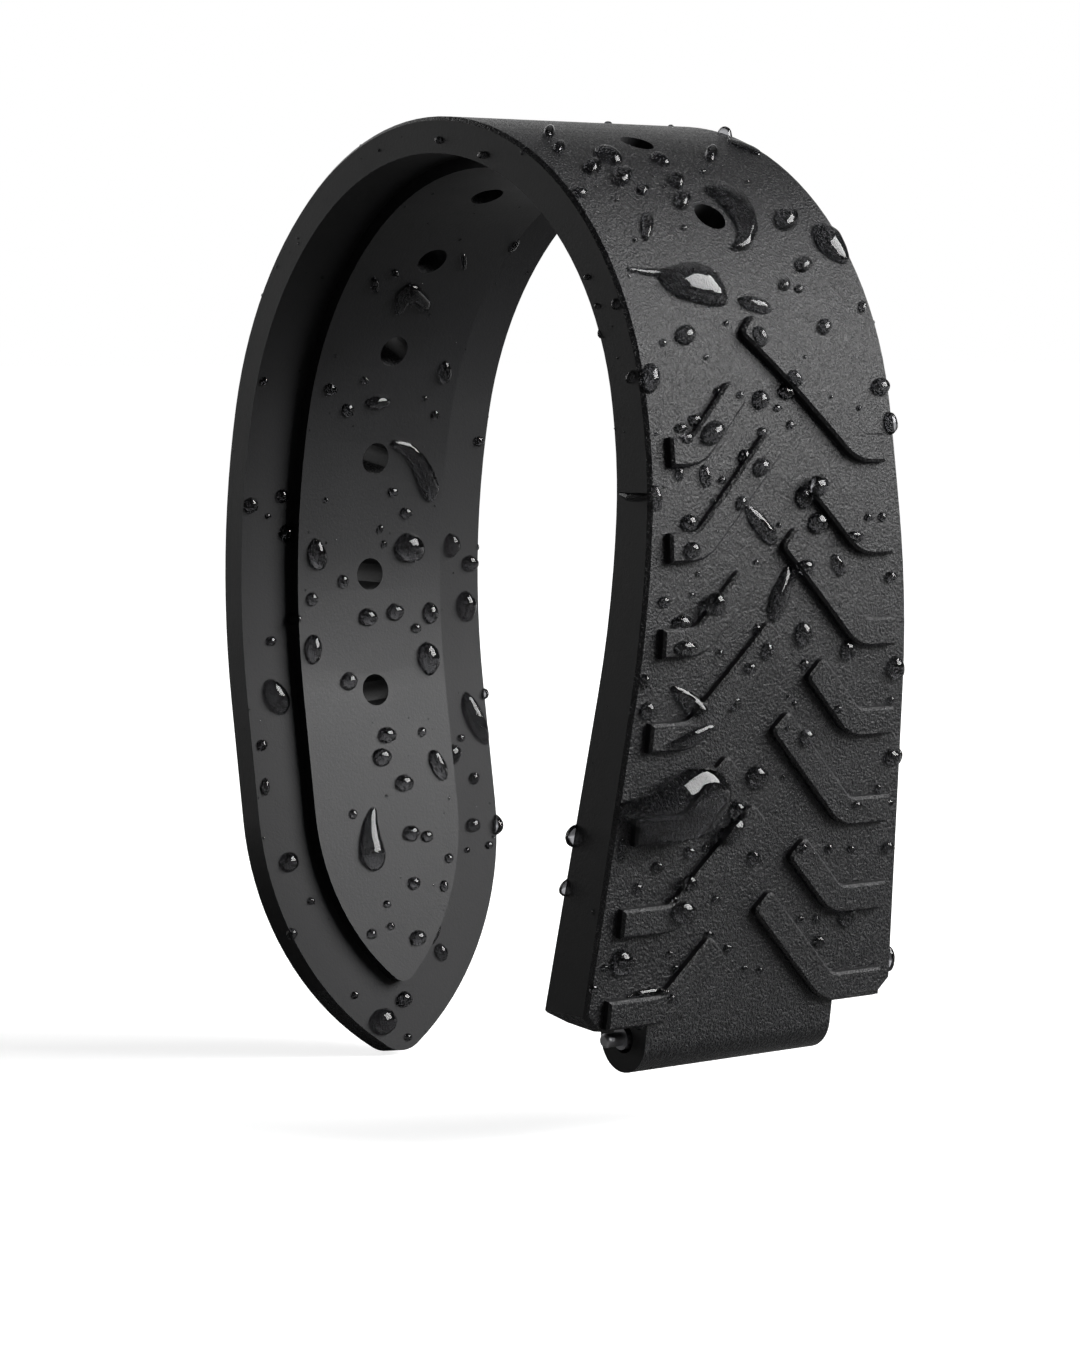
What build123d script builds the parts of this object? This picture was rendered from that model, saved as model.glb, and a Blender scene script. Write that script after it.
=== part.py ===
from build123d import *
from math import acos, cos, degrees, radians, sin, sqrt, tan
import os

# Long half of a rubber watch strap, standing as an open hoop, with its spring bar.
# The hoop lies in the XZ plane, the width runs along Y, and the tongue tip stands on Z = 0.

# Outer face of the hoop seen from the side, from the case end over the crown to the tongue tip
case_leg_length = 18.0
case_leg_lean = 82.0
shoulder_bend_radius = 50.8
shoulder_bend_turn = 18.4
crown_radius = 18.9
crown_turn = 115.7
back_bend_radius = 22.3
back_bend_turn = 40.3
tongue_bend_radius = 45.3
tongue_bend_turn = 22.9
tongue_leg_length = 22.2

# Thickness of the rim over the back and tongue, and where the crown meets the case side
strap_thickness = 1.95
bend_thickness = 2.6

# Widths and edges
strap_width = 18.0
shoulder_width = 22.5
flare_length = 30.0
flare_blend_radius = 60.0
shoulder_corner_cut = 0.9
inner_bevel_depth = 1.3
inner_bevel_height = 0.27
rim_bevel = 0.22

# Pointed tongue
tongue_side_radius = 17.4
tongue_tip_radius = 2.0

# Raised panel on the inner face
panel_height = 0.8
panel_rim = 3.6
panel_start = 4.0
panel_tip_radius = 1.0

# Adjustment holes, counted from the tongue
hole_diameter = 1.95
hole_pitch = 7.6
hole_count = 9
first_hole_from_tip = 22.2

# Tread lugs, rows counted from the case end
lug_height = 0.5
lug_root = 0.5
lug_width = 1.6
lug_row_count = 7
lug_first_row = 0.15
lug_row_pitch = 5.06
lug_foot_margin = 1.25
lug_elbow = 5.9
lug_arm_angle = 45.0
long_arm_end = 0.4
short_arm_end = 2.6
top_arm_overreach = 1.5
lug_inner_rounding = 1.1
lug_outer_rounding = 2.6
lug_corner_rounding = 0.35
lug_top_bevel = 0.15

# Tab that holds the spring bar
tab_width = 13.6
tab_thickness = 3.8
tab_root_rise = 6.0
tab_root_depth = 2.9
bore_drop = 1.25
bore_clearance = 0.08

# Spring bar, lengths measured from its middle
tube_radius = 0.75
tube_inner_radius = 0.58
tube_half_length = 5.1
crimp_length = 0.3
crimp_radius = 0.47
tip_gap = 0.03
head_radius = 0.54
head_length = 0.85
shank_radius = 0.42
collar_radius = 0.62
collar_start = 6.4
collar_length = 0.6
nose_radius = 0.4
nose_length = 1.2
nose_bevel = 0.12
wire_diameter = 0.2
coil_radius = 0.42
coil_turns = 8

overrun = 2.0

os.makedirs("parts", exist_ok=True)

half_width = strap_width / 2
bore_radius = tube_radius + bore_clearance
panel_face = strap_thickness + panel_height
leg_along = Vector(1, 0).rotate(Axis.Z, case_leg_lean)
leg_inward = Vector(0, 1).rotate(Axis.Z, case_leg_lean)


def draw_face_line(inset, start):
    # Line parallel to the outer face, set in by the inset, from a distance along the case leg
    leg_start = leg_inward * inset + leg_along * start
    leg = PolarLine(leg_start, case_leg_length - start, case_leg_lean)
    shoulder = JernArc(leg @ 1, leg % 1, shoulder_bend_radius - inset, shoulder_bend_turn)
    crown = JernArc(shoulder @ 1, shoulder % 1, crown_radius - inset, crown_turn)
    back = JernArc(crown @ 1, crown % 1, back_bend_radius - inset, back_bend_turn)
    bend = JernArc(back @ 1, back % 1, tongue_bend_radius - inset, tongue_bend_turn)
    tongue = Line(bend @ 1, bend @ 1 + (bend % 1) * tongue_leg_length)
    return leg, crown, tongue


def draw_band(outer_inset, inner_inset, start):
    # Closed strip between two lines parallel to the outer face
    outer = draw_face_line(outer_inset, start)
    inner = draw_face_line(inner_inset, start)
    Line(outer[0] @ 0, inner[0] @ 0)
    Line(outer[2] @ 1, inner[2] @ 1)


def draw_rim():
    # Side outline of the strap without the panel, thickening from the crown to the case end
    leg, crown, tongue = draw_face_line(0, 0)
    tip_inward = (tongue % 1).rotate(Axis.Z, 90)
    tip = Line(tongue @ 1, tongue @ 1 + tip_inward * strap_thickness)
    tongue_in = Line(tip @ 1, tip @ 1 - (tongue % 1) * tongue_leg_length)
    bend_radius_in = tongue_bend_radius - strap_thickness
    bend_in = JernArc(tongue_in @ 1, tongue_in % 1, bend_radius_in, -tongue_bend_turn)
    back_radius_in = back_bend_radius - strap_thickness
    back_in = JernArc(bend_in @ 1, bend_in % 1, back_radius_in, -back_bend_turn)
    crown_inward = (crown % 0).rotate(Axis.Z, 90)
    crown_end = crown @ 0 + crown_inward * bend_thickness
    crown_in = TangentArc(back_in @ 1, crown_end, tangent=back_in % 1)
    shoulder_radius_in = shoulder_bend_radius - bend_thickness
    shoulder_in = JernArc(crown_in @ 1, crown_in % 1, shoulder_radius_in, -shoulder_bend_turn)
    down = shoulder_in % 1
    rise = (shoulder_in @ 1).dot(leg_along) - inner_bevel_height
    leg_in = Line(shoulder_in @ 1, shoulder_in @ 1 - down * (rise / down.dot(leg_along)))
    bevel_end = leg_inward * ((leg_in @ 1).dot(leg_inward) - inner_bevel_depth)
    Line(leg_in @ 1, bevel_end)
    Line(bevel_end, leg @ 0)


# Centre of the arcs that form the sides of the tongue, measured from the tip
point_offset = tongue_side_radius - half_width
point_start = -tongue_tip_radius - sqrt((tongue_side_radius - tongue_tip_radius) ** 2 - point_offset**2)


def draw_point_waste(rim, tip_radius):
    # Waste on one side of the pointed outline, which is set in from the tongue's edge by the rim
    side_radius = tongue_side_radius - rim
    side_turn = degrees(acos(point_offset / (side_radius - tip_radius)))
    side = JernArc((half_width - rim, point_start), (0, 1), side_radius, side_turn)
    tip = JernArc(side @ 1, side % 1, tip_radius, 90 - side_turn)
    end = (tip @ 1).Y + rim + overrun
    Polyline(tip @ 1, (0, end), (half_width + overrun, end), (half_width + overrun, point_start), side @ 0)


# The hoop stands with its tongue tip on the ground and its middle over the origin
with BuildLine() as outer_line:
    draw_face_line(0, 0)
outer_wire = outer_line.wire()
outer_box = outer_wire.bounding_box()
hoop_middle = (outer_box.min.X + outer_box.max.X + lug_height) / 2
hoop_plane = Plane(origin=(-hoop_middle, 0, -outer_box.min.Y), x_dir=(1, 0, 0), z_dir=(0, -1, 0))


def face_plane(distance):
    # Plane on the outer face, looking outward, with its second axis running on from the case end
    place = outer_wire.position_at(distance, position_mode=PositionMode.LENGTH)
    along = outer_wire.tangent_at(distance, position_mode=PositionMode.LENGTH)
    outward = (along.Y, 0, -along.X)
    return Plane(origin=hoop_plane.from_local_coords(place), x_dir=(0, 1, 0), z_dir=outward)


def distance_off_face(edge):
    # How far the middle of an edge lies off the outer face, seen from the side
    middle = hoop_plane.to_local_coords(edge @ 0.5)
    return outer_wire.distance_to(Vector(middle.X, middle.Y))


leg_plane = face_plane(0)
tongue_plane = face_plane(outer_wire.length)
tab_plane = Plane(origin=leg_plane.origin, x_dir=-leg_plane.z_dir, z_dir=(0, 1, 0))
bore_centre = tab_plane.from_local_coords(Vector(tab_thickness / 2, -bore_drop))
bar_plane = Plane(origin=bore_centre, x_dir=(1, 0, 0), z_dir=(0, 1, 0))

# Tread lugs: a short and a long arm in each row, changing sides from row to row.
# The long arm of the top row, which meets no other, runs on past the middle of the strap.
arm_rise_share = tan(radians(lug_arm_angle))
elbow_miter = lug_width / 2 * tan(radians(lug_arm_angle / 2))
arm_side = Vector(sin(radians(lug_arm_angle)), cos(radians(lug_arm_angle))) * (lug_width / 2)
lug_middle = (lug_width + (lug_elbow - long_arm_end) * arm_rise_share) / 2
roundings = [0, lug_outer_rounding, lug_corner_rounding, lug_corner_rounding, lug_inner_rounding, 0]

with BuildPart() as tread_lugs:
    for row in range(lug_row_count):
        row_start = lug_first_row + row * lug_row_pitch
        flare_share = max(0, 1 - row_start / flare_length)
        foot = half_width + (shoulder_width - strap_width) / 2 * flare_share - lug_foot_margin
        with BuildSketch(face_plane(row_start + lug_middle)):
            for side in (-1, 1):
                is_long = (side == 1) == (row % 2 == 0)
                arm_end = long_arm_end if is_long else short_arm_end
                if is_long and row == lug_row_count - 1:
                    arm_end = long_arm_end - top_arm_overreach
                end = Vector(arm_end, lug_width / 2 + (lug_elbow - arm_end) * arm_rise_share)
                outline = [
                    (foot, 0),
                    (lug_elbow - elbow_miter, 0),
                    (end.X - arm_side.X, end.Y - arm_side.Y),
                    (end.X + arm_side.X, end.Y + arm_side.Y),
                    (lug_elbow + elbow_miter, lug_width),
                    (foot, lug_width),
                ]
                placed = [(side * x, y - lug_middle) for x, y in outline]
                with BuildLine():
                    FilletPolyline(*placed, radius=roundings, close=True)
                make_face()
        extrude(amount=lug_root + lug_height + overrun, both=True)
    with BuildSketch(hoop_plane):
        with BuildLine():
            draw_band(-lug_height, lug_root, 0)
        make_face()
    extrude(amount=shoulder_width, both=True, mode=Mode.INTERSECT)
    top_edges = [
        edge for edge in tread_lugs.edges() if distance_off_face(edge) > lug_height - lug_top_bevel
    ]
    chamfer(top_edges, lug_top_bevel)

# Raised panel of the inner face, pointed like the tongue
with BuildPart() as panel:
    with BuildSketch(hoop_plane):
        with BuildLine():
            draw_band(strap_thickness / 2, panel_face, panel_start)
        make_face()
    extrude(amount=half_width - panel_rim, both=True)
    with BuildSketch(tongue_plane):
        with BuildLine():
            draw_point_waste(panel_rim, panel_tip_radius)
        make_face()
        mirror(about=Plane.YZ)
    extrude(amount=panel_face + overrun, both=True, mode=Mode.SUBTRACT)

with BuildPart() as strap_body:
    with BuildSketch(hoop_plane):
        with BuildLine():
            draw_rim()
        make_face()
    extrude(amount=shoulder_width / 2, both=True)

    # Sides: the flare and the shoulder corners on the case leg, straight sides on the other
    low = hoop_plane.origin.Z
    high = outer_box.size.Y + overrun
    outside = shoulder_width / 2 + overrun
    corner_foot = shoulder_width / 2 - shoulder_corner_cut - overrun
    flare_waste = [
        (shoulder_width / 2, low + shoulder_corner_cut),
        (half_width, low + flare_length),
        (half_width, high),
        (outside, high),
        (outside, low - overrun),
        (corner_foot, low - overrun),
    ]
    with BuildSketch(Plane.YZ):
        with BuildLine():
            FilletPolyline(*flare_waste, radius=[0, flare_blend_radius, 0, 0, 0, 0], close=True)
        make_face()
        mirror(about=Plane.YZ)
    extrude(amount=outer_box.size.X, mode=Mode.SUBTRACT)
    side_waste = [(half_width, -overrun), (half_width, high), (outside, high), (outside, -overrun)]
    with BuildSketch(Plane.YZ):
        with BuildLine():
            Polyline(*side_waste, close=True)
        make_face()
        mirror(about=Plane.YZ)
    extrude(amount=-outer_box.size.X, mode=Mode.SUBTRACT)
    with BuildSketch(tongue_plane):
        with BuildLine():
            draw_point_waste(0, tongue_tip_radius)
        make_face()
        mirror(about=Plane.YZ)
    extrude(amount=strap_thickness + overrun, both=True, mode=Mode.SUBTRACT)
    long_edges = strap_body.edges().filter_by(Axis.Y, reverse=True)
    chamfer([edge for edge in long_edges if distance_off_face(edge) < rim_bevel], rim_bevel)
    add(panel.part)
    add(tread_lugs.part)

    # Tab, rounded about the bore and running out into the inner face
    with BuildSketch(tab_plane):
        with BuildLine():
            nose_start = Line((0, 0), (0, -bore_drop))
            tab_nose = JernArc(nose_start @ 1, (0, -1), tab_thickness / 2, 180)
            tab_root = Line((tab_root_depth, tab_root_rise), (tab_thickness / 2, tab_root_rise))
            Line(tab_nose @ 1, tab_root @ 0)
            Line(tab_root @ 1, nose_start @ 0)
        make_face()
    extrude(amount=tab_width / 2, both=True)
    with BuildSketch(bar_plane):
        Circle(bore_radius)
    extrude(amount=shoulder_width / 2, both=True, mode=Mode.SUBTRACT)

    for hole in range(hole_count):
        with BuildSketch(face_plane(outer_wire.length - first_hole_from_tip - hole * hole_pitch)):
            Circle(hole_diameter / 2)
        extrude(amount=panel_face + overrun, both=True, mode=Mode.SUBTRACT)
strap_body.part.label = "strap_body"
export_step(strap_body.part, "parts/strap_body.step")


def draw_turned_outline(steps):
    # Half outline of a turned piece from pairs of distance along the bar and radius
    points = [(0, steps[0][0])]
    for (start, radius), (end, _) in zip(steps, steps[1:]):
        points += [(radius, start), (radius, end)]
    points.append((0, steps[-1][0]))
    Polyline(*points, close=True)


with BuildPart() as spring_bar_tube:
    with BuildSketch(bar_plane):
        Circle(tube_radius)
    extrude(amount=tube_half_length, both=True)
    with BuildSketch(bar_plane):
        Circle(tube_inner_radius)
    extrude(amount=tube_half_length - crimp_length, both=True, mode=Mode.SUBTRACT)
    with BuildSketch(bar_plane):
        Circle(crimp_radius)
    extrude(amount=tube_half_length, both=True, mode=Mode.SUBTRACT)
spring_bar_tube.part.label = "spring_bar_tube"
export_step(spring_bar_tube.part, "parts/spring_bar_tube.step")

# Tips, one at each end, with the head held behind the crimp and the collar outside the tube
head_end = tube_half_length - crimp_length - tip_gap
for name, side in (("near", -1), ("far", 1)):
    with BuildPart() as spring_bar_tip:
        steps = (
            (head_end - head_length, head_radius),
            (head_end, shank_radius),
            (collar_start, collar_radius),
            (collar_start + collar_length, nose_radius),
            (collar_start + collar_length + nose_length, 0),
        )
        with BuildSketch(Plane(origin=bore_centre, x_dir=(1, 0, 0), z_dir=(0, 0, side))):
            with BuildLine():
                draw_turned_outline(steps)
            make_face()
        revolve(axis=Axis(bore_centre, (0, 1, 0)))
        chamfer(spring_bar_tip.edges().sort_by(Axis.Y)[-1 if side == 1 else 0], nose_bevel)
    spring_bar_tip.part.label = "spring_bar_tip_" + name
    export_step(spring_bar_tip.part, "parts/spring_bar_tip_" + name + ".step")

# Coil spring between the two heads, its wire four-sided to keep the mesh light
spring_length = 2 * (head_end - head_length - tip_gap) - wire_diameter
spring_start = bore_centre - Vector(0, spring_length / 2, 0)
coil_pitch = spring_length / coil_turns
with BuildPart() as spring_bar_spring:
    with BuildLine():
        coil = Helix(coil_pitch, spring_length, coil_radius, center=spring_start, direction=(0, 1, 0))
    with BuildSketch(coil ^ 0):
        RegularPolygon(wire_diameter / 2, 4)
    sweep(is_frenet=True)
spring_bar_spring.part.label = "spring_bar_spring"
export_step(spring_bar_spring.part, "parts/spring_bar_spring.step")
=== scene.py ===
import bpy
import bmesh
import math
import random
from mathutils import Matrix, Vector, noise
from mathutils.bvhtree import BVHTree


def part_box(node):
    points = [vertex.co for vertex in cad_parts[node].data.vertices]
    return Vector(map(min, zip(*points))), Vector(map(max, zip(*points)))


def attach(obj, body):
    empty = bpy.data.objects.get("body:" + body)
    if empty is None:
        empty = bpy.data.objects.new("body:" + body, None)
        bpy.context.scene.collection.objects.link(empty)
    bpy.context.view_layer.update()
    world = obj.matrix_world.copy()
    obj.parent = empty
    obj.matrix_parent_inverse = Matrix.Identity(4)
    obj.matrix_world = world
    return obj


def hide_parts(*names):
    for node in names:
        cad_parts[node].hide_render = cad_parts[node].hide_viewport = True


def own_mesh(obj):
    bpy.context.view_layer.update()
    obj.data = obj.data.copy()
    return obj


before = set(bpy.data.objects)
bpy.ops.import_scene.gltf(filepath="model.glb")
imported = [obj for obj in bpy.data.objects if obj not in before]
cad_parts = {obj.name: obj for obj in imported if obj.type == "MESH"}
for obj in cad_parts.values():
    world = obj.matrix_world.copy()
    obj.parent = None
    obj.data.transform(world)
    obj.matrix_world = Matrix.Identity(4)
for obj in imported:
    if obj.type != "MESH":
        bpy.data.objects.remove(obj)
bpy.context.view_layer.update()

mm = 0.001
scene = bpy.context.scene
scene.view_settings.view_transform = "Standard"
print("frame loaded:", ", ".join(sorted(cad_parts)))


# degrees, millimetres and pixels; the frame is the photograph's
cameraSettings = {
    "azimuth": 51.41,
    "elevation": 4.73,
    "distance": 235.35,
    "target": (-0.907, 0.0, 24.281),
    "lens": 107.45,
    "sensor": 36.0,
    "clip": (0.01, 20.0),   # metres
    "frameWidth": 1080,
    "frameHeight": 1351,
}


def aimCamera(settings):
    azimuth = math.radians(settings["azimuth"])
    elevation = math.radians(settings["elevation"])
    back = Vector((math.sin(azimuth) * math.cos(elevation),
                   -math.cos(azimuth) * math.cos(elevation),
                   math.sin(elevation)))
    data = bpy.data.cameras.new("photoCamera")
    data.sensor_width = settings["sensor"]
    data.lens = settings["lens"]
    data.clip_start, data.clip_end = settings["clip"]
    camera = bpy.data.objects.new("photoCamera", data)
    scene.collection.objects.link(camera)
    camera.rotation_mode = "QUATERNION"
    camera.location = Vector(settings["target"]) * mm + back * settings["distance"] * mm
    camera.rotation_quaternion = (-back).to_track_quat("-Z", "Y")
    scene.camera = camera
    return camera


def pixelRay(camera, settings, x, y):
    # direction through a pixel of the photograph; the sensor's size is the long side's
    scale = settings["sensor"] / settings["lens"] / settings["frameHeight"]
    across = (x - settings["frameWidth"] / 2) * scale
    up = (settings["frameHeight"] / 2 - y) * scale
    return (camera.rotation_quaternion @ Vector((across, up, -1.0))).normalized()


camera = aimCamera(cameraSettings)
print("camera placed")


def addNode(tree, kind, place=(0, 0), **values):
    node = tree.nodes.new(kind)
    node.location = place
    for key, value in values.items():
        setattr(node, key, value)
    return node


def newMaterial(name):
    material = bpy.data.materials.new(name)
    material.use_nodes = True
    tree = material.node_tree
    tree.nodes.clear()
    shader = addNode(tree, "ShaderNodeBsdfPrincipled", (300, 0))
    output = addNode(tree, "ShaderNodeOutputMaterial", (600, 0))
    tree.links.new(shader.outputs["BSDF"], output.inputs["Surface"])
    return material, tree, shader


def addSocket(group, name, direction, kind, default=None):
    socket = group.interface.new_socket(name=name, in_out=direction, socket_type=kind)
    if default is not None:
        socket.default_value = default
    return socket


grainSettings = {
    "fineDetail": 3.0,
    "fineRoughness": 0.65,
    "broadScale": 900.0,
    "broadDetail": 2.0,
    "peaks": (0.5, 0.75),    # noise from which a high spot begins, and where it is full
}


def buildGrainGroup(settings):
    # sand-like moulded grain: a height and a mask of its high spots
    group = bpy.data.node_groups.new("mouldGrain", "ShaderNodeTree")
    addSocket(group, "Grain Scale", "INPUT", "NodeSocketFloat", 6000.0)
    addSocket(group, "Waviness", "INPUT", "NodeSocketFloat", 0.3)
    addSocket(group, "Height", "OUTPUT", "NodeSocketFloat")
    addSocket(group, "Peaks", "OUTPUT", "NodeSocketFloat")
    begin = addNode(group, "NodeGroupInput", (-900, 0))
    end = addNode(group, "NodeGroupOutput", (600, 0))
    place = addNode(group, "ShaderNodeTexCoord", (-900, -250))
    fine = addNode(group, "ShaderNodeTexNoise", (-600, 150))
    fine.inputs["Detail"].default_value = settings["fineDetail"]
    fine.inputs["Roughness"].default_value = settings["fineRoughness"]
    broad = addNode(group, "ShaderNodeTexNoise", (-600, -250))
    broad.inputs["Scale"].default_value = settings["broadScale"]
    broad.inputs["Detail"].default_value = settings["broadDetail"]
    weigh = addNode(group, "ShaderNodeMath", (-300, -250), operation="MULTIPLY")
    total = addNode(group, "ShaderNodeMath", (0, 0), operation="ADD")
    peaks = addNode(group, "ShaderNodeMapRange", (0, -250))
    peaks.inputs["From Min"].default_value, peaks.inputs["From Max"].default_value = settings["peaks"]
    link = group.links.new
    link(place.outputs["Object"], fine.inputs["Vector"])
    link(place.outputs["Object"], broad.inputs["Vector"])
    link(begin.outputs["Grain Scale"], fine.inputs["Scale"])
    link(broad.outputs["Fac"], weigh.inputs[0])
    link(begin.outputs["Waviness"], weigh.inputs[1])
    link(fine.outputs["Fac"], total.inputs[0])
    link(weigh.outputs["Value"], total.inputs[1])
    link(fine.outputs["Fac"], peaks.inputs["Value"])
    link(total.outputs["Value"], end.inputs["Height"])
    link(peaks.outputs["Result"], end.inputs["Peaks"])
    return group


grainGroup = buildGrainGroup(grainSettings)


rubberSettings = {
    "deepColour": (0.0035, 0.0035, 0.0040, 1.0),
    "duskColour": (0.0070, 0.0070, 0.0080, 1.0),
    "grainColour": (0.0280, 0.0280, 0.0295, 1.0),
    "roughOuter": 0.24,
    "roughInner": 0.43,
    "roughDull": 0.90,
    "roughSpread": 0.12,
    "specular": 0.34,
    "grainScale": 6400.0,
    "grainDepth": 0.000110,  # metres
    "grainGloss": -0.16,
    "innerGrain": 0.10,
    "waviness": 0.04,
    "patchScale": 170.0,
    "patchDetail": 4.0,
    "patchStrength": 1.1,
}


def buildRubber(settings):
    material, tree, shader = newMaterial("mouldedRubber")
    link = tree.links.new
    place = addNode(tree, "ShaderNodeTexCoord", (-1200, 0))
    outside = addNode(tree, "ShaderNodeAttribute", (-1200, -400), attribute_name="outside")

    patches = addNode(tree, "ShaderNodeTexNoise", (-900, 200))
    patches.inputs["Scale"].default_value = settings["patchScale"]
    patches.inputs["Detail"].default_value = settings["patchDetail"]
    link(place.outputs["Object"], patches.inputs["Vector"])

    grain = addNode(tree, "ShaderNodeGroup", (-900, -100), node_tree=grainGroup)
    grain.inputs["Grain Scale"].default_value = settings["grainScale"]
    grain.inputs["Waviness"].default_value = settings["waviness"]

    tint = addNode(tree, "ShaderNodeMix", (-500, 250), data_type="RGBA")
    tint.inputs["A"].default_value = settings["deepColour"]
    tint.inputs["B"].default_value = settings["duskColour"]
    tintMask = addNode(tree, "ShaderNodeMath", (-700, 250), operation="MULTIPLY")
    tintMask.inputs[1].default_value = settings["patchStrength"]
    link(patches.outputs["Fac"], tintMask.inputs[0])
    link(tintMask.outputs["Value"], tint.inputs["Factor"])
    sand = addNode(tree, "ShaderNodeMix", (-100, 250), data_type="RGBA")
    sand.inputs["B"].default_value = settings["grainColour"]
    sandMask = addNode(tree, "ShaderNodeMath", (-300, 400), operation="MULTIPLY")
    link(grain.outputs["Peaks"], sandMask.inputs[0])
    link(outside.outputs["Fac"], sandMask.inputs[1])
    link(sandMask.outputs["Value"], sand.inputs["Factor"])
    link(tint.outputs["Result"], sand.inputs["A"])
    link(sand.outputs["Result"], shader.inputs["Base Color"])

    level = addNode(tree, "ShaderNodeMapRange", (-500, 0))
    level.inputs["To Min"].default_value = settings["roughInner"]
    level.inputs["To Max"].default_value = settings["roughOuter"]
    link(outside.outputs["Fac"], level.inputs["Value"])
    spread = addNode(tree, "ShaderNodeMath", (-300, 0), operation="MULTIPLY_ADD")
    spread.inputs[1].default_value = settings["roughSpread"]
    link(patches.outputs["Fac"], spread.inputs[0])
    link(level.outputs["Result"], spread.inputs[2])
    dull = addNode(tree, "ShaderNodeAttribute", (-1200, -600), attribute_name="dull")
    glints = addNode(tree, "ShaderNodeMath", (-150, 0), operation="MULTIPLY_ADD")
    glints.inputs[1].default_value = settings["grainGloss"]
    link(sandMask.outputs["Value"], glints.inputs[0])
    link(spread.outputs["Value"], glints.inputs[2])
    matt = addNode(tree, "ShaderNodeMix", (0, 0), data_type="FLOAT")
    matt.inputs["B"].default_value = settings["roughDull"]
    link(dull.outputs["Fac"], matt.inputs["Factor"])
    link(glints.outputs["Value"], matt.inputs["A"])
    link(matt.outputs["Result"], shader.inputs["Roughness"])

    strength = addNode(tree, "ShaderNodeMapRange", (-500, -300))
    strength.inputs["To Min"].default_value = settings["innerGrain"]
    strength.inputs["To Max"].default_value = 1.0
    link(outside.outputs["Fac"], strength.inputs["Value"])
    bump = addNode(tree, "ShaderNodeBump", (0, -250))
    bump.inputs["Distance"].default_value = settings["grainDepth"]
    link(strength.outputs["Result"], bump.inputs["Strength"])
    link(grain.outputs["Height"], bump.inputs["Height"])
    link(bump.outputs["Normal"], shader.inputs["Normal"])

    shader.inputs["Specular IOR Level"].default_value = settings["specular"]
    return material


steelSettings = {
    "bright": (0.48, 0.48, 0.49, 1.0),
    "dull": (0.26, 0.26, 0.28, 1.0),
    "rough": 0.30,
    "roughSpread": 0.22,
    "turningScale": 450.0,
    "turningWaver": 1.5,
    "turningDetail": 2.0,
    "turningDepth": 0.000004,  # metres
    "turningStrength": 0.5,
    "smudgeScale": 1400.0,
    "smudgeDetail": 3.0,
    "smudgeTint": 0.6,
    "tipDullness": 0.15,
    "tubeDullness": 0.35,
    "wireDullness": 0.5,
}


def buildSteel(name, settings, dullness):
    material, tree, shader = newMaterial(name)
    link = tree.links.new
    place = addNode(tree, "ShaderNodeTexCoord", (-1200, 0))
    rings = addNode(tree, "ShaderNodeTexWave", (-900, -200), wave_type="BANDS", bands_direction="Y")
    rings.inputs["Scale"].default_value = settings["turningScale"]
    rings.inputs["Distortion"].default_value = settings["turningWaver"]
    rings.inputs["Detail"].default_value = settings["turningDetail"]
    smudge = addNode(tree, "ShaderNodeTexNoise", (-900, 200))
    smudge.inputs["Scale"].default_value = settings["smudgeScale"]
    smudge.inputs["Detail"].default_value = settings["smudgeDetail"]
    link(place.outputs["Object"], rings.inputs["Vector"])
    link(place.outputs["Object"], smudge.inputs["Vector"])
    tint = addNode(tree, "ShaderNodeMix", (-400, 200), data_type="RGBA")
    tint.inputs["A"].default_value = settings["bright"]
    tint.inputs["B"].default_value = settings["dull"]
    amount = addNode(tree, "ShaderNodeMath", (-600, 200), operation="MULTIPLY_ADD")
    amount.inputs[1].default_value = settings["smudgeTint"]
    amount.inputs[2].default_value = dullness
    link(smudge.outputs["Fac"], amount.inputs[0])
    link(amount.outputs["Value"], tint.inputs["Factor"])
    link(tint.outputs["Result"], shader.inputs["Base Color"])
    rough = addNode(tree, "ShaderNodeMath", (-400, 0), operation="MULTIPLY_ADD")
    rough.inputs[1].default_value = settings["roughSpread"]
    rough.inputs[2].default_value = settings["rough"]
    link(smudge.outputs["Fac"], rough.inputs[0])
    link(rough.outputs["Value"], shader.inputs["Roughness"])
    bump = addNode(tree, "ShaderNodeBump", (0, -250))
    bump.inputs["Distance"].default_value = settings["turningDepth"]
    bump.inputs["Strength"].default_value = settings["turningStrength"]
    link(rings.outputs["Fac"], bump.inputs["Height"])
    link(bump.outputs["Normal"], shader.inputs["Normal"])
    shader.inputs["Metallic"].default_value = 1.0
    return material


waterSettings = {
    # grey tint on otherwise clear water: painted shade that darkens every drop in place of its shadow
    # and the dark surroundings it refracts
    "paintedShadeTint": (0.42, 0.42, 0.44, 1.0),
    "refraction": 1.33,
    "filmScale": 900.0,
    "filmDetail": 2.0,
    "filmRoughness": 0.04,
    "rippleDepth": 0.00001,  # metres
    "rippleStrength": 0.1,
}


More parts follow.
